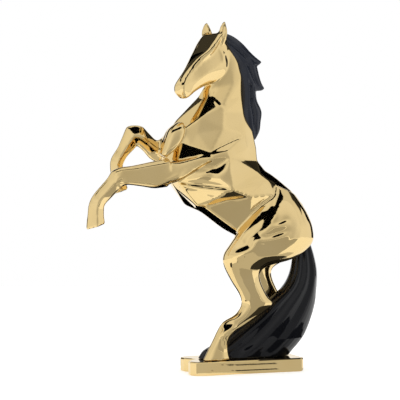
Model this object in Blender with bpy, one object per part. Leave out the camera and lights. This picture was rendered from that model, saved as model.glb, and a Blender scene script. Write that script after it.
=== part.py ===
"""A rearing horse on a low base: a slip-cast ceramic figure, carved in soft facets, with a thick
black mane and a tail that reaches the base as its third support.

The horse faces -X and its left side is towards -Y. The tables give stations in millimetres on a
figure that stands 480 tall over its base, and UNIT turns them into metres."""

import math

import bmesh
import bpy
from mathutils import Matrix, Vector

FIGURE_HEIGHT = 0.480
TABLE_HEIGHT = 480
HOOF_LEVEL = 20
UNIT = FIGURE_HEIGHT / TABLE_HEIGHT

BASE_THICKNESS = 0.0195
BASE_AHEAD = 0.021
BASE_BEHIND = 0.013
BASE_BESIDE = 0.004
BASE_EDGE = 0.0018
RIGHT_LOBE_BACK = 0.006
SEAT_GAP = 0.0003

HEAD_TURN = math.radians(25)
HEAD_PIVOT = 20
SMOOTH_UNDER = math.radians(24)

# Each pair of a profile is how far a corner lies along the line from a section's front point to
# its back point, and how much of the section's half width it stands out.
BREAST_FORM = ((0.0, 0.45), (0.20, 0.92), (0.80, 1.0), (1.0, 0.5))
UPPER_ARM_FORM = ((0.0, 0.50), (0.82, 1.0), (1.0, 0.50))
FOREARM_FORM = ((0.0, 0.42), (0.14, 0.92), (0.86, 1.0), (1.0, 0.45))
SHANK_FORM = ((0.0, 0.32), (0.48, 1.0), (1.0, 0.38))
THIGH = ((0.0, 0.30), (0.16, 0.82), (0.42, 1.0), (0.74, 0.94), (1.0, 0.34))
LOCK = ((0.0, 0.24), (0.30, 0.80), (0.46, 0.62), (0.66, 1.0), (1.0, 0.55))
TAIL = ((0.0, 0.30), (0.14, 0.86), (0.30, 0.78), (0.46, 1.0), (0.62, 0.84), (0.80, 0.86), (1.0, 0.22))
HEAD_LEVELS = (0.0, 0.10, 0.20, 0.52, 0.86, 1.0)


def place(x, y, z):
    """A table point in metres, with the hooves standing on the base."""
    return Vector((x * UNIT, y * UNIT, (z - HOOF_LEVEL) * UNIT + BASE_THICKNESS + SEAT_GAP))


def between(stations, steps):
    """The stations with steps - 1 more between each two, on a smooth curve through them all."""
    rows = []
    last = len(stations) - 1
    for i in range(last):
        before, start = stations[max(i - 1, 0)], stations[i]
        end, after = stations[i + 1], stations[min(i + 2, last)]
        for step in range(steps):
            t = step / steps
            rows.append([
                0.5 * (2 * b + (c - a) * t + (2 * a - 5 * b + 4 * c - d) * t ** 2
                       + (3 * b - a - 3 * c + d) * t ** 3)
                for a, b, c, d in zip(before, start, end, after)
            ])
    return rows + [list(stations[last])]


def section(front, back, y, outs, levels):
    """Corners round a section: down its left side from front to back, then up its right side."""
    left, right = [], []
    for along, out in zip(levels, outs):
        x = front[0] + (back[0] - front[0]) * along
        z = front[1] + (back[1] - front[1]) * along
        left.append(place(x, y - out, z))
        right.append(place(x, y + out, z))
    return left + right[::-1]


def split_at_ridges(shape):
    """Parts each four-sided panel along the diagonal that stands out, as a carver's cut leaves it."""
    for face in [face for face in shape.faces if len(face.verts) == 4]:
        a, b, c, d = face.verts
        lean = (b.co - a.co).cross(c.co - a.co)
        ends = (a, c) if (d.co - a.co).dot(lean) < 0 else (b, d)
        bmesh.utils.face_split(face, *ends)


def loft(name, rings, material):
    """One closed skin over the rings, with its two ends filled."""
    shape = bmesh.new()
    loops = [[shape.verts.new(corner) for corner in corners] for corners in rings]
    for first, second in zip(loops, loops[1:]):
        for i, vertex in enumerate(first):
            j = (i + 1) % len(first)
            shape.faces.new((vertex, first[j], second[j], second[i]))
    shape.faces.new(loops[0][::-1])
    shape.faces.new(loops[-1])
    bmesh.ops.recalc_face_normals(shape, faces=shape.faces)
    split_at_ridges(shape)
    mesh = bpy.data.meshes.new(name)
    shape.to_mesh(mesh)
    shape.free()
    mesh.materials.append(material)
    mesh.shade_smooth()
    mesh.set_sharp_from_angle(angle=SMOOTH_UNDER)
    piece = bpy.data.objects.new(name, mesh)
    bpy.context.scene.collection.objects.link(piece)
    return piece


def finish(name, colour, roughness, metallic):
    material = bpy.data.materials.new(name)
    material.use_nodes = True
    shader = material.node_tree.nodes["Principled BSDF"]
    shader.inputs["Base Color"].default_value = (*colour, 1)
    shader.inputs["Roughness"].default_value = roughness
    shader.inputs["Metallic"].default_value = metallic
    return material


def gold_lustre():
    return finish("gold_lustre", (0.83, 0.60, 0.27), 0.08, 1.0)


def black_glaze():
    return finish("black_glaze", (0.012, 0.013, 0.017), 0.12, 0.0)


def limb(name, side, stations, material, profile, steps=2):
    """A tapering form from (front x, front z, back x, back z, y, half width) stations."""
    levels = [along for along, out in profile]
    rings = []
    for fx, fz, bx, bz, y, half in between(stations, steps):
        outs = [out * half for along, out in profile]
        rings.append(section((fx, fz), (bx, bz), side * y, outs, levels))
    return loft(name, rings, material)


# The trunk and neck, from the rump up to the poll. Each row goes round one carved section from
# the ridge of the back to the belly line: seven corners, each as (x, z, half width).
TRUNK = (
    ((167, 205, 0), (166, 205, 6), (162, 202, 12), (155, 193, 15), (146, 184, 12), (140, 179, 6), (138, 177, 0)),
    ((155, 238, 0), (154, 237, 11), (149, 233, 21), (139, 214, 31), (120, 194, 30), (108, 182, 20), (102, 177, 0)),
    ((136, 258, 0), (134, 258, 12), (127, 253, 24), (114, 238, 35), (90, 208, 34), (74, 192, 24), (66, 187, 0)),
    ((116, 274, 0), (113, 274, 13), (102, 267, 27), (97, 252, 37), (62, 226, 33), (44, 202, 26), (54, 196, 0)),
    ((106, 281, 0), (103, 281, 13), (93, 272, 29), (60, 250, 43), (30, 243, 38), (-2, 232, 22), (2, 227, 0)),
    ((97, 286, 0), (94, 286, 13), (81, 281, 28), (31, 260, 50), (6, 249, 41), (-14, 237, 22), (-6, 232, 0)),
    ((84, 300, 0), (82, 300, 14), (56, 301, 30), (29, 305, 41), (2, 286, 30), (-41, 271, 19), (-38, 262, 0)),
    ((83, 318, 0), (81, 318, 12), (62, 319, 25), (27, 314, 39), (-14, 300, 38), (-48, 288, 37), (-50, 284, 0)),
    ((82, 332, 0), (78, 333, 10), (60, 336, 21), (4, 313, 35), (-22, 322, 25), (-35, 328, 19), (-58, 308, 0)),
    ((79, 346, 0), (75, 347, 9), (60, 351, 18), (23, 345, 30), (-12, 339, 26), (-32, 344, 20), (-50, 335, 0)),
    ((74, 364, 0), (71, 365, 7), (60, 368, 14), (26, 368, 25), (-8, 360, 24), (-24, 352, 18), (-38, 355, 0)),
    ((68, 392, 0), (66, 392, 6), (60, 393, 12), (26, 377, 23), (14, 386, 17), (6, 389, 12), (-3, 390, 0)),
    ((64, 426, 0), (63, 424, 6), (59, 418, 12), (44, 409, 16), (22, 404, 13), (12, 404, 9), (8, 408, 0)),
    ((58, 448, 0), (56, 447, 6), (50, 446, 10), (41, 438, 12), (29, 430, 11), (20, 428, 7), (17, 428, 0)),
    ((46, 466, 0), (45, 465, 4), (42, 464, 8), (37, 458, 11), (31, 452, 10), (27, 450, 6), (25, 448, 0)),
)


def trunk(material):
    rings = []
    for row in TRUNK:
        left = [place(x, -half, z) for x, z, half in row]
        right = [place(x, half, z) for x, z, half in row[1:-1]]
        rings.append(left + right[::-1])
    return loft("trunk", rings, material)


# One muscle of the breast, a long lozenge from the point of the shoulder down to the foreleg.
BREAST = (
    (-41, 354, -33, 354, 20, 6),
    (-53, 345, -32, 345, 23, 11),
    (-59, 333, -36, 331, 25, 12),
    (-64, 318, -46, 317, 26, 11),
    (-68, 308, -60, 305, 26, 8),
)
RIGHT_BREAST_BACK = 14


def breast(name, side, back, material):
    stations = [(fx + back, fz, bx + back, bz, y, half) for fx, fz, bx, bz, y, half in BREAST]
    return limb(name, side, stations, material, BREAST_FORM)


# The head in its own upright plane, from the skull to the lips: (front x, front z, back x,
# back z), then the half widths at the forehead, brow, eye groove, cheek, jaw and chin.
HEAD = (
    (34, 476, 46, 456, 7, 11, 11, 12, 10, 5),
    (19, 480, 42, 446, 14, 19, 17, 17, 15, 8),
    (8, 470, 39, 433, 16, 21, 16, 20, 18, 11),
    (-5, 455, 34, 420, 14, 19, 15, 20, 18, 12),
    (-19, 442, 13, 411, 9, 13, 12, 17, 14, 9),
    (-32, 428, -7, 403, 4.5, 9.5, 9, 13, 10, 6),
    (-43, 416, -21, 396, 3.5, 8.5, 9, 10.5, 8, 5),
    (-49, 407, -32, 389, 4, 9.5, 11, 10, 8, 5),
    (-50, 399, -39, 386, 4, 8.5, 10, 9, 7, 4),
    (-48, 393, -43, 387, 3, 5, 6, 5, 4, 2),
)


def turned(piece):
    """Turns a piece with the head, about the upright line through the neck."""
    pivot = Vector((HEAD_PIVOT * UNIT, 0, 0))
    move = Matrix.Translation(pivot) @ Matrix.Rotation(HEAD_TURN, 4, "Z") @ Matrix.Translation(-pivot)
    piece.data.transform(move)
    return piece


def head(material):
    rings = [section(row[0:2], row[2:4], 0, row[4:], HEAD_LEVELS) for row in between(HEAD, 2)]
    return turned(loft("head", rings, material))


# An ear from its root to its tip: centre (x, z), distance out from the middle, half width
# across the opening and half thickness.
EAR = (
    (22, 464, 12, 5, 5),
    (23, 474, 14.5, 8, 5.5),
    (23, 482, 16, 7.4, 4.6),
    (23, 490, 17, 4.8, 3),
    (24, 496, 18, 1.2, 0.9),
)
EAR_FACES_OUT = math.radians(-10)
EAR_OUTLINE = ((-1, 0.3), (-0.75, -0.7), (0, -1), (0.75, -0.7), (1, 0.3), (0.4, 0.55), (0, -0.1), (-0.4, 0.55))


def ear(name, side, material):
    """A cupped leaf whose hollow faces forwards and a little inwards."""
    turn = side * EAR_FACES_OUT
    rings = []
    for x, z, out, half, thick in EAR:
        corners = []
        for across, deep in EAR_OUTLINE:
            a = across * half
            d = deep * thick
            forward = -d * math.cos(turn) + a * math.sin(turn)
            sideways = a * math.cos(turn) + d * math.sin(turn)
            corners.append(place(x + forward, side * out + sideways, z))
        rings.append(corners)
    return turned(loft(name, rings, material))


# The left foreleg in its three planes: upper arm, forearm, and from the knee to the hoof.
UPPER_ARM = (
    (24, 318, 34, 310, 28, 8),
    (-4, 309, 7, 298, 30, 12),
    (-30, 302, -18, 285, 32, 14),
    (-52, 298, -44, 271, 33, 14),
    (-68, 298, -77, 264, 34, 11),
)
FOREARM = (
    (-58, 303, -60, 264, 32, 13),
    (-70, 301, -79, 262, 33, 13),
    (-92, 297, -93, 264, 33, 12.5),
    (-112, 293, -107, 266, 32, 12),
    (-128, 291, -119, 267, 32, 11.5),
    (-139, 286, -126, 264, 32, 9),
)
SHANK = (
    (-124, 292, -112, 270, 32, 10),
    (-138, 287, -125, 265, 32, 11),
    (-147, 275, -133, 257, 32, 9.5),
    (-161, 260, -142, 248, 32, 8.5),
    (-169, 249, -150, 240, 32, 10),
    (-173, 238, -151, 232, 32, 9),
    (-174, 226, -151, 223, 32, 10.5),
    (-176, 206, -150, 214, 32, 13),
)
FAR_FORELEG = (
    (0, 340, 24, 318, 34, 12),
    (-28, 344, 2, 306, 38, 16),
    (-50, 329, -38, 296, 38, 15),
    (-64, 338, -60, 301, 35, 12.5),
    (-77, 349, -74, 314, 32, 11.5),
    (-96, 349, -84, 321, 32, 11),
    (-102, 340, -88, 316, 32, 9.5),
    (-111, 320, -97, 307, 32, 8),
    (-120, 306, -104, 295, 32, 9),
    (-123, 296, -104, 286, 32, 8.5),
    (-122, 280, -102, 276, 32, 10),
    (-122, 252, -97, 260, 32, 12.5),
)
HIND_LEG = (
    (104, 266, 136, 252, 20, 12),
    (94, 250, 150, 228, 26, 19),
    (73, 228, 157, 204, 31, 24),
    (51, 203, 154, 182, 33, 26),
    (36, 182, 128, 162, 31, 25),
    (27, 168, 92, 152, 29, 21),
    (27, 153, 79, 143, 28, 17),
    (38, 131, 80, 129, 28, 14),
    (51, 110, 90, 109, 28, 12.5),
    (53, 97, 99, 97, 28, 12),
    (44, 84, 80, 82, 28, 10),
    (26, 74, 58, 68, 28, 9),
    (17, 62, 43, 60, 28, 10),
    (10, 48, 33, 47, 27, 9),
    (3, 34, 32, 34, 26, 9.5),
    (-4, 20, 35, 20, 26, 11),
)
STRIDE = 40
STRIDE_STATIONS = 4


def hind_leg(name, side, stride, material):
    """A hind leg; stride moves it back, little by little from the hip to the stifle."""
    stations = []
    for i, (fx, fz, bx, bz, y, half) in enumerate(HIND_LEG):
        share = min(1, max(0, (i - 1) / STRIDE_STATIONS))
        back_share = share if i >= STRIDE_STATIONS else 0
        stations.append((fx + stride * share, fz, bx + stride * back_share, bz, y, half))
    return limb(name, side, stations, material, THIGH)


TAIL_STATIONS = (
    (146, 206, 160, 208, 0, 8),
    (146, 180, 167, 186, 0, 11),
    (143, 158, 175, 163, 0, 14),
    (138, 136, 180, 140, 0, 17),
    (127, 118, 179, 116, 0, 19),
    (104, 99, 175, 94, 0, 20),
    (79, 78, 168, 72, 0, 21),
    (52, 59, 158, 50, 0, 22),
    (28, 42, 147, 36, 0, 23),
    (8, 31, 138, 27, 0, 24),
    (0, 20, 132, 20, 0, 24),
)

# The mane's locks, each from its root on the crest to its tip: (outer x, outer z, inner x,
# inner z, y, half width).
LOCKS = (
    (
        (26, 480, 38, 460, 0, 8),
        (40, 479, 44, 450, 0, 12),
        (52, 474, 54, 438, 0, 14),
        (64, 465, 64, 430, -1, 13),
        (75, 454, 74, 430, -2, 10),
        (85, 446, 82, 433, -2, 6),
        (93, 441, 89, 437, -2, 2),
    ),
    (
        (66, 460, 52, 440, 0, 11),
        (79, 446, 57, 424, -2, 14),
        (84, 434, 61, 412, -3, 14),
        (88, 420, 70, 404, -3, 11),
        (92, 410, 80, 400, -3, 7),
        (97, 403, 92, 400, -3, 2),
    ),
    (
        (70, 440, 54, 430, 0, 12),
        (79, 420, 58, 416, -2, 15),
        (82, 402, 60, 396, -3, 16),
        (84, 386, 60, 376, -3, 15),
        (91, 370, 61, 362, -3, 13),
        (90, 355, 66, 349, -3, 10),
        (89, 342, 74, 336, -2, 6),
        (83, 330, 80, 329, -2, 2),
    ),
)


def mane(material):
    return [limb("lock_%d" % (i + 1), 1, lock, material, LOCK) for i, lock in enumerate(LOCKS)]


def horse():
    """The whole figure as the one casting it is: every form joined to the trunk."""
    gold, black = gold_lustre(), black_glaze()
    body = trunk(gold)
    forms = [
        head(gold), ear("ear_left", -1, gold), ear("ear_right", 1, gold),
        breast("breast_left", -1, 0, gold), breast("breast_right", 1, RIGHT_BREAST_BACK, gold),
        limb("upper_arm_left", -1, UPPER_ARM, gold, UPPER_ARM_FORM),
        limb("forearm_left", -1, FOREARM, gold, FOREARM_FORM),
        limb("shank_left", -1, SHANK, gold, SHANK_FORM),
        limb("foreleg_right", 1, FAR_FORELEG, gold, SHANK_FORM),
        hind_leg("hind_leg_left", -1, 0, gold), hind_leg("hind_leg_right", 1, STRIDE, gold),
        limb("tail", 1, TAIL_STATIONS, black, TAIL), *mane(black),
    ]
    for form in forms:
        form.hide_render = True
        form.display_type = "WIRE"
        join = body.modifiers.new(form.name, "BOOLEAN")
        join.operation = "UNION"
        join.solver = "EXACT"
        join.material_mode = "TRANSFER"
        join.object = form
    body.name = "horse"
    return body, forms


# The base's outline from its front notch round the left lobe, along the side and round the back
# corner, as shares of its length and of its half width. The right lobe is set a little back.
BASE_SIDE = (
    (0.10, 0.0), (0.05, 0.18), (0.006, 0.42), (0.0, 0.72), (0.04, 0.93),
    (0.16, 1.0), (0.27, 0.96), (0.36, 0.94), (0.97, 0.94), (1.0, 0.80),
)
LOBE_SHARE = 0.10


def base():
    """The slab under the hooves and the tail, which it passes by its named margins all round."""
    toe, hoof_height, heel, heel_height, hoof_y, hoof_half = HIND_LEG[-1]
    front = toe * UNIT - BASE_AHEAD
    length = TAIL_STATIONS[-1][2] * UNIT + BASE_BEHIND - front
    half_width = (hoof_y + hoof_half) * UNIT + BASE_BESIDE
    left = [(front + along * length, -out * half_width) for along, out in BASE_SIDE]
    right = [
        (front + along * length + RIGHT_LOBE_BACK * (along < LOBE_SHARE), out * half_width)
        for along, out in BASE_SIDE[1:]
    ]
    outline = left + right[::-1]
    rings = [[Vector((x, y, z)) for x, y in outline] for z in (0, BASE_THICKNESS)]
    piece = loft("base", rings, gold_lustre())
    edge = piece.modifiers.new("edge", "BEVEL")
    edge.width = BASE_EDGE
    edge.segments = 2
    return piece


def stand_in_the_middle(pieces):
    """Moves the pieces together so that the part's box has its middle over the origin."""
    corners = [vertex.co for piece in pieces for vertex in piece.data.vertices]
    middle = Vector(((min(c.x for c in corners) + max(c.x for c in corners)) / 2,
                     (min(c.y for c in corners) + max(c.y for c in corners)) / 2, 0))
    for piece in pieces:
        piece.data.transform(Matrix.Translation(-middle))


for leftover in list(bpy.data.objects):
    bpy.data.objects.remove(leftover)
body, forms = horse()
stand_in_the_middle([body, *forms, base()])
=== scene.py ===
"""A rearing horse, a slip-cast ceramic figure with a mirror-bright gold lustre and a black glazed
mane and tail, on its low gold base, in a white photographer's tent."""

import math

import bmesh
import bpy
import numpy as np
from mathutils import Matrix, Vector


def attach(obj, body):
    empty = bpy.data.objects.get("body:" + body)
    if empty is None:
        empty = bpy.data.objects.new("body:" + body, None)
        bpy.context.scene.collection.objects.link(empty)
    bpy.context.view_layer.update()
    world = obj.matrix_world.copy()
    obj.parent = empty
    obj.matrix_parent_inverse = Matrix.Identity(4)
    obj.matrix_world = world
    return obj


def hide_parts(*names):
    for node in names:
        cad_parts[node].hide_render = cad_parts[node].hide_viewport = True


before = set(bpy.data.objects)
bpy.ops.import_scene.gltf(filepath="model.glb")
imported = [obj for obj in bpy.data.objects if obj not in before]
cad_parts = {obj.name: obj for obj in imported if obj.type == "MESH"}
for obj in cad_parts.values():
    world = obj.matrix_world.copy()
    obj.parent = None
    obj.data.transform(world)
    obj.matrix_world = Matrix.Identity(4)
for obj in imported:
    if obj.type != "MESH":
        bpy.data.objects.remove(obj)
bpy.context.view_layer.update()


def shade(material, kind, inputs=None, **settings):
    """Adds a node with its settings; an input is a value or another node's output."""
    tree = material.node_tree
    made = tree.nodes.new(kind)
    for name, value in settings.items():
        setattr(made, name, value)
    for name, value in (inputs or {}).items():
        socket = made.inputs[name]
        if isinstance(value, bpy.types.NodeSocket):
            tree.links.new(value, socket)
        else:
            socket.default_value = value
    return made


def colour(code):
    """An sRGB hex colour as the linear values that a shader takes."""
    parts = [int(code[i:i + 2], 16) / 255 for i in (1, 3, 5)]
    return (*[c / 12.92 if c <= 0.04045 else ((c + 0.055) / 1.055) ** 2.4 for c in parts], 1)


def glazed(name, tones, cloud, peel, values):
    """A fired glaze: a tone that drifts a little between two, under a fine orange peel. The cloud
    is the scale and detail of that drift, the peel its own scale and its depth in metres."""
    material = bpy.data.materials.new(name)
    material.use_nodes = True
    shader = material.node_tree.nodes["Principled BSDF"]
    spot = shade(material, "ShaderNodeTexCoord").outputs["Object"]
    drift = shade(material, "ShaderNodeTexNoise",
                  {"Vector": spot, "Scale": cloud[0], "Detail": cloud[1]})
    tone = shade(material, "ShaderNodeMix",
                 {"Factor": drift.outputs["Fac"], "A": colour(tones[0]), "B": colour(tones[1])},
                 data_type="RGBA")
    grain = shade(material, "ShaderNodeTexNoise", {"Vector": spot, "Scale": peel[0], "Detail": 1})
    bump = shade(material, "ShaderNodeBump",
                 {"Height": grain.outputs["Fac"], "Distance": peel[1], "Strength": 0.5})
    material.node_tree.links.new(tone.outputs["Result"], shader.inputs["Base Color"])
    material.node_tree.links.new(bump.outputs["Normal"], shader.inputs["Normal"])
    for socket, value in values.items():
        shader.inputs[socket].default_value = value
    return material


# The gold lustre: a thin fired film of metal over a glazed white body. It mirrors like polished
# brass, with the faint orange peel of the glaze under it and a slightly uneven tone.
gold = glazed("gold_lustre", ("#E9D09A", "#E0C487"), cloud=(22, 3), peel=(160, 0.00002),
              values={"Metallic": 1.0, "Roughness": 0.05})

# The gold figure: trunk, neck, head, ears, breast and legs, cast in one. The trunk is carved in
# flat facets with soft ridges; the limbs and the head are rounder. It is drawn in millimetres, and
# MIDDLE and SETTLE are how far it moves back and down as the part is centred over the origin.
MIDDLE = 2.03
SETTLE = 0.2
LEFT, RIGHT = -1, 1


def place(x, y, z):
    """A drawn point in millimetres as a place in the part's frame, in metres."""
    return ((x - MIDDLE) / 1000, y / 1000, (z - SETTLE) / 1000)


def curve(a, b, c, d, t):
    """The value at share t of the way from b to c, on a smooth curve through all four."""
    return 0.5 * (2 * b + (c - a) * t + (2 * a - 5 * b + 4 * c - d) * t ** 2
                  + (3 * b - a - 3 * c + d) * t ** 3)


def between(stations, steps):
    """The stations with steps - 1 more between each two, on a smooth curve through them all."""
    rows = []
    last = len(stations) - 1
    for i in range(last):
        before, start = stations[max(i - 1, 0)], stations[i]
        end, after = stations[i + 1], stations[min(i + 2, last)]
        for step in range(steps):
            rows.append([curve(*four, step / steps) for four in zip(before, start, end, after)])
    return rows + [list(stations[last])]


def rounded(ring, steps):
    """A closed ring with more corners between its own, on a smooth curve round it."""
    count = len(ring)
    corners = []
    for i in range(count):
        near = [ring[(i + k) % count] for k in (-1, 0, 1, 2)]
        for step in range(steps):
            corners.append([curve(*four, step / steps) for four in zip(*near)])
    return corners


def section(front, back, y, profile, half):
    """Corners round a section: down its left side from front to back, then up its right side."""
    left, right = [], []
    for along, out in profile:
        x = front[0] + (back[0] - front[0]) * along
        z = front[1] + (back[1] - front[1]) * along
        left.append((x, y - out * half, z))
        right.append((x, y + out * half, z))
    return left + right[::-1]


def skin(rings):
    """One closed skin over rings of corners in millimetres, parted along the ridges."""
    shape = bmesh.new()
    loops = [[shape.verts.new(place(*corner)) for corner in ring] for ring in rings]
    for first, second in zip(loops, loops[1:]):
        for i, vertex in enumerate(first):
            j = (i + 1) % len(first)
            shape.faces.new((vertex, first[j], second[j], second[i]))
    shape.faces.new(loops[0][::-1])
    shape.faces.new(loops[-1])
    bmesh.ops.recalc_face_normals(shape, faces=shape.faces)
    for face in [face for face in shape.faces if len(face.verts) == 4]:
        a, b, c, d = face.verts
        lean = (b.co - a.co).cross(c.co - a.co)
        ends = (a, c) if (d.co - a.co).dot(lean) < 0 else (b, d)
        bmesh.utils.face_split(face, *ends)
    return shape


def limb(stations, profile, side=RIGHT, steps=5, turns=3):
    """A tapering form from (front x, front z, back x, back z, y, half width) stations, where y
    counts towards its side. With one turn its section keeps flat faces."""
    rings = []
    for fx, fz, bx, bz, y, half in between(stations, steps):
        ring = section((fx, fz), (bx, bz), side * y, profile, half)
        rings.append(rounded(ring, turns) if turns > 1 else ring)
    return skin(rings)


def cast(name, shapes, material, cell, edge_rounds, swell_rounds=0, swell=0.0):
    """Fuses the shapes into one skin of even cells, then softens it as a glaze does."""
    mesh = bpy.data.meshes.new(name)
    whole = bmesh.new()
    for shape in shapes:
        part = bpy.data.meshes.new("part")
        shape.to_mesh(part)
        shape.free()
        whole.from_mesh(part)
        bpy.data.meshes.remove(part)
    whole.to_mesh(mesh)
    whole.free()
    piece = bpy.data.objects.new(name, mesh)
    bpy.context.scene.collection.objects.link(piece)
    fuse = piece.modifiers.new("fuse", "REMESH")
    fuse.mode = "VOXEL"
    fuse.voxel_size = cell
    bpy.context.view_layer.update()
    finished = piece.evaluated_get(bpy.context.evaluated_depsgraph_get())
    fused = bpy.data.meshes.new_from_object(finished)
    piece.modifiers.clear()
    piece.data = fused
    bpy.data.meshes.remove(mesh)
    fused.name = name
    fused.materials.clear()
    fused.materials.append(material)
    glaze(fused, edge_rounds, swell_rounds, swell)
    fused.shade_smooth()
    return piece


def read(mesh):
    """A mesh's points as an array of x, y and z."""
    points = np.empty(len(mesh.vertices) * 3)
    mesh.vertices.foreach_get("co", points)
    return points.reshape(-1, 3)


def write(mesh, points):
    """Puts an array of points back into their mesh."""
    mesh.vertices.foreach_set("co", points.astype(np.float32).ravel())
    mesh.update()


def evened(mesh, points, rounds, share=0.5, back=-0.53):
    """The points after rounds of evening out. Each round is a step of that share towards the
    neighbours and a step back, so that the form doesn't shrink."""
    points = points.copy()
    ends = np.empty(len(mesh.edges) * 2, dtype=np.int64)
    mesh.edges.foreach_get("vertices", ends)
    a, b = ends.reshape(-1, 2).T
    count = np.bincount(ends, minlength=len(points))[:, None]
    for i in range(2 * rounds):
        total = np.stack([
            np.bincount(a, points[b, k], len(points)) + np.bincount(b, points[a, k], len(points))
            for k in range(3)
        ], axis=1)
        points += (share, back)[i % 2] * (total / count - points)
    return points


def glaze(mesh, edge_rounds, swell_rounds, swell):
    """Softens the edges, then lets each facet swell a little between them, as thick glaze lies."""
    crisp = evened(mesh, read(mesh), edge_rounds)
    full = evened(mesh, crisp, swell_rounds, share=0.5, back=0.0)
    write(mesh, crisp * (1 - swell) + full * swell)


# Each row of the trunk goes round one carved section from the ridge of the back to the belly line,
# from the rump up to the poll: seven corners, each as (x, z, half width).
TRUNK = (
    ((167, 205, 0), (166, 205, 6), (162, 202, 12), (155, 193, 15),
     (146, 184, 12), (140, 179, 6), (138, 177, 0)),
    ((155, 238, 0), (154, 237, 11), (149, 233, 21), (139, 214, 31),
     (120, 194, 30), (108, 182, 20), (102, 177, 0)),
    ((136, 258, 0), (134, 258, 12), (127, 253, 24), (114, 238, 35),
     (90, 208, 34), (74, 192, 24), (66, 187, 0)),
    ((116, 274, 0), (113, 274, 13), (102, 267, 27), (97, 252, 37),
     (62, 226, 33), (44, 202, 26), (54, 196, 0)),
    ((106, 281, 0), (103, 281, 13), (93, 272, 29), (60, 250, 43),
     (31, 246, 37), (-2, 235, 26), (2, 227, 0)),
    ((97, 286, 0), (94, 286, 13), (81, 281, 28), (31, 260, 50),
     (6, 246, 38), (-14, 237, 26), (-6, 232, 0)),
    ((84, 300, 0), (82, 300, 14), (56, 301, 30), (29, 305, 41),
     (4, 288, 37), (-41, 271, 22), (-38, 262, 0)),
    ((83, 318, 0), (81, 318, 12), (62, 319, 25), (27, 314, 39),
     (-14, 300, 38), (-48, 288, 37), (-50, 284, 0)),
    ((82, 332, 0), (78, 333, 10), (60, 336, 21), (4, 313, 35),
     (-22, 322, 25), (-35, 328, 19), (-58, 308, 0)),
    ((79, 346, 0), (75, 347, 9), (60, 351, 18), (23, 345, 30),
     (-12, 339, 26), (-32, 344, 20), (-50, 335, 0)),
    ((74, 364, 0), (71, 365, 7), (60, 368, 14), (26, 368, 25),
     (-8, 360, 24), (-24, 352, 18), (-38, 355, 0)),
    ((68, 392, 0), (66, 392, 6), (60, 393, 12), (26, 377, 23),
     (14, 386, 17), (6, 389, 12), (-3, 390, 0)),
    ((64, 426, 0), (63, 424, 6), (59, 418, 12), (44, 409, 16),
     (22, 404, 13), (12, 404, 9), (8, 408, 0)),
    ((58, 448, 0), (56, 447, 6), (50, 446, 10), (41, 438, 12),
     (29, 430, 11), (20, 428, 7), (17, 428, 0)),
    ((46, 466, 0), (45, 465, 4), (42, 464, 8), (37, 458, 11),
     (31, 452, 10), (27, 450, 6), (25, 448, 0)),
)
trunk_rings = []
for row in TRUNK:
    left = [(x, -half, z) for x, z, half in row]
    right = [(x, half, z) for x, z, half in row[1:-1]]
    trunk_rings.append(left + right[::-1])
trunk = skin(trunk_rings)

THIGH = ((0.0, 0.30), (0.16, 0.82), (0.42, 1.0), (0.74, 0.94), (1.0, 0.34))
BREAST_FORM = ((0.0, 0.45), (0.20, 0.92), (0.80, 1.0), (1.0, 0.5))
# One muscle of the breast, a long lozenge from the point of the shoulder down to the foreleg.
BREAST = (
    (-41, 354, -33, 354, 20, 6),
    (-53, 345, -32, 345, 23, 11),
    (-59, 333, -36, 331, 25, 12),
    (-64, 318, -46, 317, 26, 11),
    (-68, 308, -60, 305, 26, 8),
)
RIGHT_BREAST_BACK = 14
right_breast = [(fx + RIGHT_BREAST_BACK, fz, bx + RIGHT_BREAST_BACK, bz, y, half)
                for fx, fz, bx, bz, y, half in BREAST]
# The left foreleg in its three planes: upper arm, forearm, and from the knee to the hoof.
UPPER_ARM_FORM = ((0.0, 0.50), (0.82, 1.0), (1.0, 0.50))
UPPER_ARM = (
    (24, 318, 34, 312, 28, 7),
    (-4, 309, 7, 301, 30, 11),
    (-30, 302, -18, 288, 32, 13),
    (-52, 298, -44, 272, 33, 14),
    (-68, 298, -77, 264, 34, 11),
)
FOREARM_FORM = ((0.0, 0.42), (0.14, 0.92), (0.86, 1.0), (1.0, 0.45))
FOREARM = (
    (-58, 303, -60, 264, 32, 13),
    (-70, 301, -79, 262, 33, 13),
    (-92, 297, -93, 264, 33, 12.5),
    (-112, 293, -107, 266, 32, 12),
    (-128, 291, -119, 267, 32, 11.5),
    (-139, 286, -126, 264, 32, 9),
)
SHANK_FORM = ((0.0, 0.32), (0.48, 1.0), (1.0, 0.38))
SHANK = (
    (-124, 292, -112, 270, 32, 10),
    (-138, 287, -125, 265, 32, 11),
    (-147, 275, -133, 257, 32, 9.5),
    (-161, 260, -142, 248, 32, 8.5),
    (-169, 249, -150, 240, 32, 10),
    (-173, 238, -151, 232, 32, 9),
    (-174, 226, -151, 223, 32, 10.5),
    (-176, 206, -150, 214, 32, 13),
)
# The right foreleg, which is bent more.
FAR_FORELEG = (
    (0, 340, 24, 318, 34, 12),
    (-28, 344, 2, 306, 38, 16),
    (-50, 329, -38, 296, 38, 15),
    (-64, 338, -60, 301, 35, 12.5),
    (-77, 349, -74, 314, 32, 11.5),
    (-96, 349, -84, 321, 32, 11),
    (-102, 340, -88, 316, 32, 9.5),
    (-111, 320, -97, 307, 32, 8),
    (-120, 306, -104, 295, 32, 9),
    (-123, 296, -104, 286, 32, 8.5),
    (-122, 280, -102, 276, 32, 10),
    (-122, 252, -97, 260, 32, 12.5),
)
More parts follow.
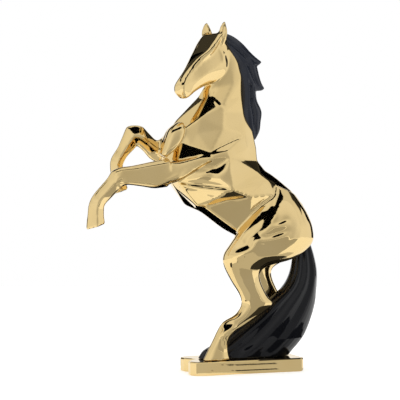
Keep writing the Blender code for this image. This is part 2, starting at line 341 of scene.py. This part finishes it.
# Both hind legs from the hip to the hoof; the right one stands a stride further back.
HIND_LEG = (
    (104, 266, 136, 252, 20, 12),
    (94, 250, 150, 228, 26, 19),
    (73, 228, 157, 204, 31, 24),
    (51, 203, 154, 182, 33, 26),
    (36, 182, 128, 162, 31, 25),
    (27, 168, 92, 152, 29, 21),
    (27, 153, 79, 143, 28, 17),
    (38, 131, 80, 129, 28, 14),
    (51, 110, 90, 109, 28, 12.5),
    (53, 97, 99, 97, 28, 12),
    (44, 84, 80, 82, 28, 10),
    (26, 74, 58, 68, 28, 9),
    (17, 62, 43, 60, 28, 10),
    (10, 48, 33, 47, 27, 9),
    (3, 34, 32, 34, 26, 9.5),
    (-4, 20, 35, 20, 26, 11),
)
STRIDE = 40
STRIDE_STATIONS = 4


def hind_leg(side, stride):
    """A hind leg; stride moves it back, little by little from the hip to the stifle."""
    stations = []
    for i, (fx, fz, bx, bz, y, half) in enumerate(HIND_LEG):
        share = min(1, max(0, (i - 1) / STRIDE_STATIONS))
        back_share = share if i >= STRIDE_STATIONS else 0
        stations.append((fx + stride * share, fz, bx + stride * back_share, bz, y, half))
    return limb(stations, THIGH, side)


# The head in its own upright plane, from the skull to the lips: (front x, front z, back x,
# back z), then the half widths at the forehead, brow, eye groove, cheek, jaw and chin.
HEAD_TURN = math.radians(25)
HEAD_PIVOT = 20
HEAD_LEVELS = (0.0, 0.10, 0.20, 0.52, 0.86, 1.0)
HEAD = (
    (34, 476, 46, 456, 7, 11, 11, 12, 10, 5),
    (19, 480, 42, 446, 14, 19, 17, 17, 15, 8),
    (8, 470, 39, 433, 16, 21, 16, 20, 18, 11),
    (-5, 455, 34, 420, 14, 19, 15, 20, 18, 12),
    (-19, 442, 13, 411, 9, 13, 12, 17, 14, 9),
    (-32, 428, -7, 403, 4.5, 9.5, 9, 13, 10, 6),
    (-43, 416, -21, 396, 3.5, 8.5, 9, 10.5, 8, 5),
    (-49, 407, -32, 389, 4, 9.5, 11, 10, 8, 5),
    (-50, 399, -39, 386, 4, 8.5, 10, 9, 7, 4),
    (-48, 393, -43, 387, 3, 5, 6, 5, 4, 2),
)
# An ear from its root to its tip: centre (x, z), distance out from the middle, half width
# across the opening and half thickness.
EAR = (
    (22, 462, 12, 6, 5.5),
    (23, 473, 14.5, 9, 6),
    (23, 482, 16, 8.6, 5.2),
    (23, 490, 17, 5.8, 3.6),
    (24, 497.2, 18, 1.6, 1.1),
)
EAR_FACES_OUT = math.radians(-10)
EAR_OUTLINE = ((-1, 0.3), (-0.75, -0.7), (0, -1), (0.75, -0.7), (1, 0.3),
               (0.4, 0.55), (0, -0.1), (-0.4, 0.55))


def turned(rings):
    """Turns rings with the head, about the upright line through the neck."""
    c, s = math.cos(HEAD_TURN), math.sin(HEAD_TURN)
    return [[(HEAD_PIVOT + (x - HEAD_PIVOT) * c - y * s, (x - HEAD_PIVOT) * s + y * c, z)
             for x, y, z in ring] for ring in rings]


def ear(side):
    """A cupped leaf whose hollow faces forwards and a little inwards."""
    turn = side * EAR_FACES_OUT
    rings = []
    for x, z, out, half, thick in between(EAR, steps=4):
        ring = []
        for across, deep in EAR_OUTLINE:
            a, d = across * half, deep * thick
            ring.append((x - d * math.cos(turn) + a * math.sin(turn),
                         side * out + a * math.cos(turn) + d * math.sin(turn), z))
        rings.append(rounded(ring, steps=3))
    return skin(turned(rings))


head_rings = []
for row in between(HEAD, steps=5):
    profile = list(zip(HEAD_LEVELS, row[4:]))
    head_rings.append(rounded(section(row[0:2], row[2:4], 0, profile, half=1), steps=2))
head = skin(turned(head_rings))

forelegs = [limb(stations, form, side, steps=4, turns=1) for stations, form, side in (
    (UPPER_ARM, UPPER_ARM_FORM, LEFT), (FOREARM, FOREARM_FORM, LEFT), (SHANK, SHANK_FORM, LEFT),
    (FAR_FORELEG, SHANK_FORM, RIGHT))]
figure = cast("gold_figure", [
    trunk, head, ear(LEFT), ear(RIGHT),
    limb(BREAST, BREAST_FORM, LEFT), limb(right_breast, BREAST_FORM, RIGHT),
    *forelegs, hind_leg(LEFT, 0), hind_leg(RIGHT, STRIDE),
], gold, cell=0.00168, edge_rounds=9, swell_rounds=24, swell=0.35)

# The finer carving of the side that is seen, 20 degrees ahead of the left side. Its places are in
# millimetres across and above the middle of that view.
VIEW_TURN = math.radians(-20)
TOWARDS_VIEWER = (math.sin(VIEW_TURN), -math.cos(VIEW_TURN))


def in_view(points):
    """How far points lie across and above the middle of the view, in millimetres."""
    across = ((points[:, 0] * 1000 + MIDDLE) * -TOWARDS_VIEWER[1]
              + points[:, 1] * 1000 * TOWARDS_VIEWER[0])
    return across, points[:, 2] * 1000 + SETTLE


def polish(piece, spots, rounds):
    """Evens out round spots of the left side, each by its middle and radius."""
    mesh = piece.data
    points = read(mesh)
    smooth = evened(mesh, points, rounds)
    across, above = in_view(points)
    share = np.zeros(len(points))
    for x, z, radius in spots:
        reach = 2 - 2 * np.hypot(across - x, above - z) / radius
        share = np.maximum(share, np.clip(reach, 0, 1))
    share[points[:, 1] > 0] = 0
    write(mesh, points + (smooth - points) * share[:, None])


HAUNCH = ((92, 222, 36), (108, 212, 44), (100, 192, 40))
polish(figure, HAUNCH, rounds=48)
FLANK_RIDGE = ((50, 256, 8), (58, 254, 8), (66, 253, 8), (74, 251, 8), (82, 250, 8))
polish(figure, FLANK_RIDGE, rounds=28)

# A cut is left out where the surface turns away from the viewer, and fades in as it turns back.
CUT_STEPS = 6
TURNED_AWAY = 0.05
FADE_IN = 3


def score(piece, cuts):
    """Cuts soft steps in the side that is seen. A cut has the depths (y in millimetres) between
    which it works, then stations with its place across and above the middle of the view, its half
    width and its height. The step faces left of the way it runs."""
    mesh = piece.data
    points = read(mesh)
    normals = np.empty(len(mesh.vertices) * 3)
    mesh.vertices.foreach_get("normal", normals)
    normals = normals.reshape(-1, 3)
    across, above = in_view(points)
    facing = normals[:, 0] * TOWARDS_VIEWER[0] + normals[:, 1] * TOWARDS_VIEWER[1]
    depth = points[:, 1] * 1000
    rise = np.zeros(len(points))
    for deepest, nearest, stations in cuts:
        route = np.array(between(stations, CUT_STEPS))
        best = np.full(len(points), np.inf)
        step = np.zeros(len(points))
        for (ax, az, aw, ah), (bx, bz, bw, bh) in zip(route, route[1:]):
            length = math.hypot(bx - ax, bz - az)
            dx, dz = (bx - ax) / length, (bz - az) / length
            along = (across - ax) * dx + (above - az) * dz
            share = np.clip(along / length, 0, 1)
            off = np.hypot(across - ax - share * length * dx, above - az - share * length * dz)
            side = np.sign((above - az) * dx - (across - ax) * dz)
            wide, high = aw + (bw - aw) * share, ah + (bh - ah) * share
            s = side * off / wide
            found = off < best
            best = np.where(found, off, best)
            step = np.where(found, -high * s * np.exp((1 - s * s) / 2), step)
        seen = (facing > TURNED_AWAY) & (depth > deepest) & (depth < nearest)
        rise += np.where(seen, step, 0) * np.clip(facing * FADE_IN, 0, 1)
    points[:, 0] += rise / 1000 * TOWARDS_VIEWER[0]
    points[:, 1] += rise / 1000 * TOWARDS_VIEWER[1]
    write(mesh, points)


NEAR = (-90, 0)
HEAD_SIDE = (-60, 12)
SCORES = (
    # The S down the thigh.
    (*NEAR, ((104, 256, 3, 0), (103, 246, 4, -0.5), (102, 236, 5, -0.8), (103, 227, 6, -1.2),
             (100, 217, 7, -1.3), (90, 204, 7, -1.5), (80, 195, 6, -2.0), (73, 188, 6, -2.5),
             (69, 180, 6, -2.5), (57, 174, 5, -1.8), (45, 168, 3, 0))),
    # The curved edge over the ribs.
    (*NEAR, ((-28, 271, 3, 0), (-14, 279, 6, 3.0), (0, 285, 7, 3.9), (11, 286.5, 7.5, 3.5),
             (22, 285, 8, 2.2), (31, 290, 8, 2.0), (38, 298, 5, 1.4), (42, 306, 3, 0))),
    # Two lines across the haunch.
    (*NEAR, ((78, 193, 3, 0), (88, 191, 4, 1.5), (97, 192, 4, 1.6), (112, 196, 4, 1.6),
             (129, 202, 3, 0))),
    (*NEAR, ((100, 209, 3, 0), (110, 211, 3.5, 1.1), (119, 214, 3.5, 1.1), (128, 217, 3, 0))),
    # The long line from the elbow to the flank.
    (*NEAR, ((-30, 269, 2, 0), (-18, 267, 3, 1.7), (30, 261, 3, 1.7), (42, 258.5, 2, 0))),
    # The step down the cannon of the hind leg.
    (*NEAR, ((26, 55, 3, 0), (32, 60, 5, 1.7), (43, 68, 5, 1.7), (50, 74, 3, 0))),
    # The back of the cheek.
    (*HEAD_SIDE, ((28, 461, 2, 0), (34, 452, 2.5, 0.9), (37, 440, 2.5, 0.9), (38, 430, 2, 0))),
    # The V in the neck.
    (*NEAR, ((18, 391, 2, 0), (25, 384, 2.4, 0.4), (31, 377, 2.4, 0.4), (34, 373, 2, 0))),
    # The lower edge of the forearm.
    (*NEAR, ((-118, 270, 2.5, 0), (-104, 267, 2.5, -0.9), (-80, 265, 2.5, -0.9),
             (-59, 263.5, 2.5, -0.9), (-44, 271, 2.5, -0.9), (-22, 281, 2.5, 0))),
    # The long line of the face, the nostril and the jaw.
    (*HEAD_SIDE, ((-30, 414, 2.5, 0), (-27, 424, 2.5, 0.7), (-18, 437, 3, 0.8),
                  (-8, 445, 3, 0.9), (4, 452, 3, 0.9), (15, 458, 3, 0))),
    (*HEAD_SIDE, ((-19, 392, 2.5, 0), (-25, 397, 2.5, 0.8), (-28, 405, 2.5, 0.9),
                  (-24, 414, 2.5, 0))),
    (*HEAD_SIDE, ((37, 425, 2.5, 0), (20, 411, 3, -0.8), (4, 402, 3, -0.8), (-13, 390, 2.5, 0))),
)
score(figure, SCORES)

# The softened cuts and facets may stand out a little past the solid's sides, so each side is drawn
# in by its own share.
FIT_DEPTH = (0.97, 0.993)
done = evened(figure.data, read(figure.data), rounds=2)
done[:, 1] *= np.where(done[:, 1] < 0, *FIT_DEPTH)
write(figure.data, done)
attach(figure, "root")
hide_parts("horse")

# The mane: heavy overlapping locks of black glaze down the crest, each ending in a free tip. Its
# glaze is satin. Its tones are the tail's black glaze painted lighter and bluer, a painted sheen
# for the white room that the glaze mirrors.
satin_painted_sheen = glazed("black_satin_painted_sheen", ("#1A1D25", "#262A34"), cloud=(35, 4), peel=(120, 0.00004),
               values={"Roughness": 0.20, "Specular IOR Level": 0.25})
LOCK = ((0.0, 0.24), (0.30, 0.80), (0.46, 0.62), (0.66, 1.0), (1.0, 0.55))
LOCKS = (
    (
        (26, 480, 38, 460, 0, 8),
        (40, 479, 44, 450, 0, 12),
        (52, 474, 54, 438, 0, 14),
        (64, 465, 64, 430, -1, 13),
        (75, 454, 74, 430, -2, 10),
        (85, 446, 82, 433, -2, 6),
        (93, 441, 89, 437, -2, 2),
    ),
    (
        (66, 460, 52, 440, 0, 11),
        (79, 446, 57, 424, -2, 14),
        (84, 434, 61, 412, -3, 14),
        (88, 420, 70, 404, -3, 11),
        (92, 410, 80, 400, -3, 7),
        (97, 403, 92, 400, -3, 2),
    ),
    (
        (70, 440, 54, 430, 0, 12),
        (79, 420, 58, 416, -2, 15),
        (82, 402, 60, 396, -3, 16),
        (84, 386, 60, 376, -3, 15),
        (91, 370, 61, 362, -3, 13),
        (90, 355, 66, 349, -3, 10),
        (89, 342, 74, 336, -2, 6),
        (83, 330, 80, 329, -2, 2),
    ),
)
mane = cast("mane", [limb(lock, LOCK) for lock in LOCKS], satin_painted_sheen, cell=0.0012, edge_rounds=4)
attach(mane, "root")
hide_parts("horse")

# The tail: one thick sweep of black glaze from the dock to the base, which it props up. The glaze
# is nearly opaque and glossy, so it shows the white room as slate grey where it faces it.
black = glazed("black_glaze", ("#08090C", "#111216"), cloud=(35, 4), peel=(120, 0.00004),
               values={"Roughness": 0.10, "Specular IOR Level": 0.25})
TAIL = ((0.0, 0.30), (0.14, 0.86), (0.30, 0.78), (0.46, 1.0), (0.62, 0.84), (0.80, 0.86),
        (1.0, 0.22))
TAIL_STATIONS = (
    (146, 206, 160, 208, 0, 8),
    (146, 180, 167, 186, 0, 11),
    (143, 158, 174.5, 163, 0, 14),
    (138, 136, 178.8, 140, 0, 17),
    (127, 118, 178, 116, 0, 19),
    (104, 99, 175, 94, 0, 20),
    (79, 78, 168, 72, 0, 21),
    (52, 59, 158, 50, 0, 22),
    (28, 42, 147, 36, 0, 23),
    (8, 31, 138, 27, 0, 24),
    (0, 20, 132, 20, 0, 24),
)
tail = cast("tail", [limb(TAIL_STATIONS, TAIL)], black, cell=0.0012, edge_rounds=4)
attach(tail, "root")
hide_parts("horse")

# The base: a low slab with rounded edges and two lobes at its front, cast and lustred like the
# figure.
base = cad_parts["base"]
base.data.materials.clear()
base.data.materials.append(gold)

# The camera: a long lens at the height of the figure's middle, a little above level.
CAMERA_TURN = VIEW_TURN
CAMERA_RISE = math.radians(1.4)
CAMERA_AWAY = 2.4
FOCAL_LENGTH = 152.9
SENSOR_WIDTH = 36
AIM = (-0.00203, 0, 0.2444)
back = Vector((math.sin(CAMERA_TURN) * math.cos(CAMERA_RISE),
               -math.cos(CAMERA_TURN) * math.cos(CAMERA_RISE), math.sin(CAMERA_RISE)))
lens = bpy.data.cameras.new("camera")
lens.sensor_width = SENSOR_WIDTH
lens.lens = FOCAL_LENGTH
camera = bpy.data.objects.new("camera", lens)
bpy.context.scene.collection.objects.link(camera)
camera.location = Vector(AIM) + back * CAMERA_AWAY
camera.rotation_euler = back.to_track_quat("Z", "Y").to_euler()
bpy.context.scene.camera = camera

# The tent: white cloth all round with soft folds, which the world stands for, and even white at
# the level of the horizon. The lit front wall and the dark gaps are panels of their own, hung out
# of the picture for the glaze to mirror.
world = bpy.data.worlds.new("tent")
bpy.context.scene.world = world
world.use_nodes = True
tent_way = shade(world, "ShaderNodeTexCoord")
tent_fold = shade(world, "ShaderNodeTexNoise",
                  {"Vector": tent_way.outputs["Generated"], "Scale": 2.2, "Detail": 2.0})
tent_light = shade(world, "ShaderNodeMapRange",
                   {"Value": tent_fold.outputs["Fac"], "From Min": 0.3, "From Max": 0.7,
                    "To Min": 0.76, "To Max": 1.0})
tent_ways = shade(world, "ShaderNodeSeparateXYZ", {"Vector": tent_way.outputs["Generated"]})
tent_height = shade(world, "ShaderNodeMath", {0: tent_ways.outputs["Z"]}, operation="ABSOLUTE")
tent_level = shade(world, "ShaderNodeMapRange",
                   {"Value": tent_height.outputs["Value"], "From Min": 0.16, "From Max": 0.32,
                    "To Min": 1.0, "To Max": 0.0})
tent_tone = shade(world, "ShaderNodeMix",
                  {0: tent_level.outputs["Result"], 2: tent_light.outputs["Result"], 3: 1.0})
tent_cloth = world.node_tree.nodes["Background"]
world.node_tree.links.new(tent_tone.outputs[0], tent_cloth.inputs["Strength"])
tent_cloth.inputs["Color"].default_value = (1, 1, 1, 1)


def bearing(azimuth, elevation):
    """A direction in degrees right of and above the camera's, as seen from the figure."""
    turn = CAMERA_TURN + math.radians(azimuth)
    rise = math.radians(elevation)
    return Vector((math.sin(turn) * math.cos(rise), -math.cos(turn) * math.cos(rise),
                   math.sin(rise)))


# The share of a panel's reach over which its middle glow stays even.
GLOW_CORE = 0.15


def hang(name, corners, faces, middle, rim=None, half_size=(1, 1)):
    """Hangs a panel in the tent, with its glow in the middle and, where it differs, at its rim."""
    mesh = bpy.data.meshes.new(name)
    mesh.from_pydata(corners, [], faces)
    made = bpy.data.objects.new(name, mesh)
    bpy.context.scene.collection.objects.link(made)
    cloth = bpy.data.materials.new(name)
    cloth.use_nodes = True
    tree = cloth.node_tree
    tree.nodes.remove(tree.nodes["Principled BSDF"])
    spot = shade(cloth, "ShaderNodeTexCoord")
    share = shade(cloth, "ShaderNodeVectorMath",
                  {0: spot.outputs["Object"], 1: (1 / half_size[0], 1 / half_size[1], 0)},
                  operation="MULTIPLY")
    out = shade(cloth, "ShaderNodeVectorMath", {0: share.outputs["Vector"]}, operation="LENGTH")
    fall = shade(cloth, "ShaderNodeMapRange",
                 {"Value": out.outputs["Value"], "From Min": GLOW_CORE, "From Max": 1.0,
                  "To Min": middle, "To Max": middle if rim is None else rim},
                 interpolation_type="SMOOTHSTEP")
    light = shade(cloth, "ShaderNodeEmission",
                  {"Color": (1, 1, 1, 1), "Strength": fall.outputs["Result"]})
    tree.links.new(light.outputs["Emission"], tree.nodes["Material Output"].inputs["Surface"])
    made.data.materials.append(cloth)
    made.visible_camera = False
    made.visible_diffuse = False
    made.visible_shadow = False
    return made


def panel(name, azimuth, elevation, wide, high, middle, rim, away=2.0):
    """A flat panel that faces the figure, with its place and size in degrees."""
    w, h = (away * math.tan(math.radians(size / 2)) for size in (wide, high))
    made = hang(name, [(-w, -h, 0), (w, -h, 0), (w, h, 0), (-w, h, 0)], [(0, 1, 2, 3)],
                middle, rim, (w, h))
    towards = bearing(azimuth, elevation)
    made.location = Vector(AIM) + towards * away
    made.rotation_euler = towards.to_track_quat("Z", "Y").to_euler()
    return made


def ribbon(name, route, wide, glow, away=2.2):
    """A bent strip of card along bearings (right of and above the camera), wide in degrees."""
    ways = [bearing(*stop) for stop in route]
    corners = []
    for i, way in enumerate(ways):
        along = (ways[min(i + 1, len(ways) - 1)] - ways[max(i - 1, 0)]).normalized()
        side = way.cross(along).normalized() * math.tan(math.radians(wide / 2))
        corners += [Vector(AIM) + (way - side) * away, Vector(AIM) + (way + side) * away]
    faces = [(2 * i, 2 * i + 1, 2 * i + 3, 2 * i + 2) for i in range(len(ways) - 1)]
    return hang(name, corners, faces, glow)


panel("front_wall", azimuth=32, elevation=0, wide=84, high=104, middle=0.58, rim=0.95, away=2.6)
CEILING_ROUTE = ((-54, 51), (-22, 54), (0, 54), (20, 54), (38, 56), (52, 59), (66, 62))
ribbon("ceiling_slot", CEILING_ROUTE, wide=19, glow=0.0)
panel("back_gap", azimuth=114, elevation=33, wide=26, high=20, middle=0.02, rim=0.05, away=2.2)
panel("forehead_gap", azimuth=-130, elevation=55, wide=36, high=22, middle=0.05, rim=0.05,
      away=2.2)

# The dark slot all round between the side walls and the backdrop, which draws the thin dark line
# just inside the figure's outline. Its edges are in degrees from the way to the camera.
SLOT_EDGES = (121, 143)
SLOT_SIDES = 48
SLOT_AWAY = 2.3
slot_right = Vector((math.cos(CAMERA_TURN), math.sin(CAMERA_TURN), 0))
slot_up = back.cross(slot_right)
slot_corners = []
for polar in SLOT_EDGES:
    for i in range(SLOT_SIDES):
        roll = 2 * math.pi * i / SLOT_SIDES
        around = slot_right * math.cos(roll) + slot_up * math.sin(roll)
        way = back * math.cos(math.radians(polar)) + around * math.sin(math.radians(polar))
        slot_corners.append(Vector(AIM) + way * SLOT_AWAY)
slot_faces = []
for i in range(SLOT_SIDES):
    j = (i + 1) % SLOT_SIDES
    slot_faces.append((i, j, SLOT_SIDES + j, SLOT_SIDES + i))
hang("wall_slot", slot_corners, slot_faces, middle=0.0)

# The floor: a flat sheet of white paper with a faint glow of its own, so that it goes over into
# the white behind the figure.
paper = bpy.data.materials.new("paper")
paper.use_nodes = True
paper_shader = paper.node_tree.nodes["Principled BSDF"]
paper_place = shade(paper, "ShaderNodeTexCoord")
paper_grain = shade(paper, "ShaderNodeTexNoise",
                    {"Vector": paper_place.outputs["Object"], "Scale": 900, "Detail": 2})
paper_bump = shade(paper, "ShaderNodeBump",
                   {"Height": paper_grain.outputs["Fac"], "Distance": 0.00003, "Strength": 0.3})
paper.node_tree.links.new(paper_bump.outputs["Normal"], paper_shader.inputs["Normal"])
paper_shader.inputs["Base Color"].default_value = colour("#F4F3F1")
paper_shader.inputs["Roughness"].default_value = 0.9
paper_shader.inputs["Emission Color"].default_value = (1, 1, 1, 1)
paper_shader.inputs["Emission Strength"].default_value = 0.42
FLOOR_REACH = 1.6
floor_corners = [(x, y, 0) for y in (-FLOOR_REACH, FLOOR_REACH)
                 for x in (-FLOOR_REACH, FLOOR_REACH)]
floor_mesh = bpy.data.meshes.new("floor")
floor_mesh.from_pydata(floor_corners, [], [(0, 1, 3, 2)])
floor = bpy.data.objects.new("floor", floor_mesh)
bpy.context.scene.collection.objects.link(floor)
floor.rotation_euler.z = CAMERA_TURN
floor.data.materials.append(paper)

# Black tapes on the floor, out of the picture. They draw the two thin lines and the small cross
# mark in the base's side: each has its near and far edge and its ends, in metres.
TAPE_HEIGHT = 0.0006
TAPE_GLOW = 0.02
TAPES = (
    (0.129, 0.143, 0.074, 0.139),
    (0.069, 0.080, 0.051, 0.116),
    (0.125, 0.139, 0.029, 0.050),
    (0.150, 0.185, 0.048, 0.053),
    (0.085, 0.118, 0.024, 0.030),
)
for i, (near_edge, far_edge, start, end) in enumerate(TAPES):
    corners = [(x, -y, TAPE_HEIGHT) for y in (near_edge, far_edge) for x in (start, end)]
    hang("tape_%d" % (i + 1), corners, [(0, 1, 3, 2)], TAPE_GLOW)

# Black, grey and pale cloths low over the floor, out of the picture, which the undersides mirror:
# from one turn to another in degrees, from near to far, height and glow.
CLOTH_STEP = 4
CLOTHS = (
    ("black_cloth", (56, 108), (0.115, 0.21), 0.045, 0.04),
    ("back_cloth", (140, 220), (0.08, 0.86), 0.002, 0.0),
    ("grey_apron", (6, 66), (0.28, 1.5), 0.003, 0.48),
    ("low_card", (-42, -26), (0.20, 0.34), 0.004, 0.0),
    ("pale_cloth", (-32, 104), (0.07, 0.3), 0.0003, 0.66),
)
for name, turns, reach, height, glow in CLOTHS:
    corners = [tuple((bearing(turn, 0) * far).xy) + (height,)
               for far in reach for turn in range(turns[0], turns[1] + 1, CLOTH_STEP)]
    half = len(corners) // 2
    hang(name, corners, [(i, i + 1, half + i + 1, half + i) for i in range(half - 1)], glow)

bpy.context.scene.view_settings.view_transform = "Standard"
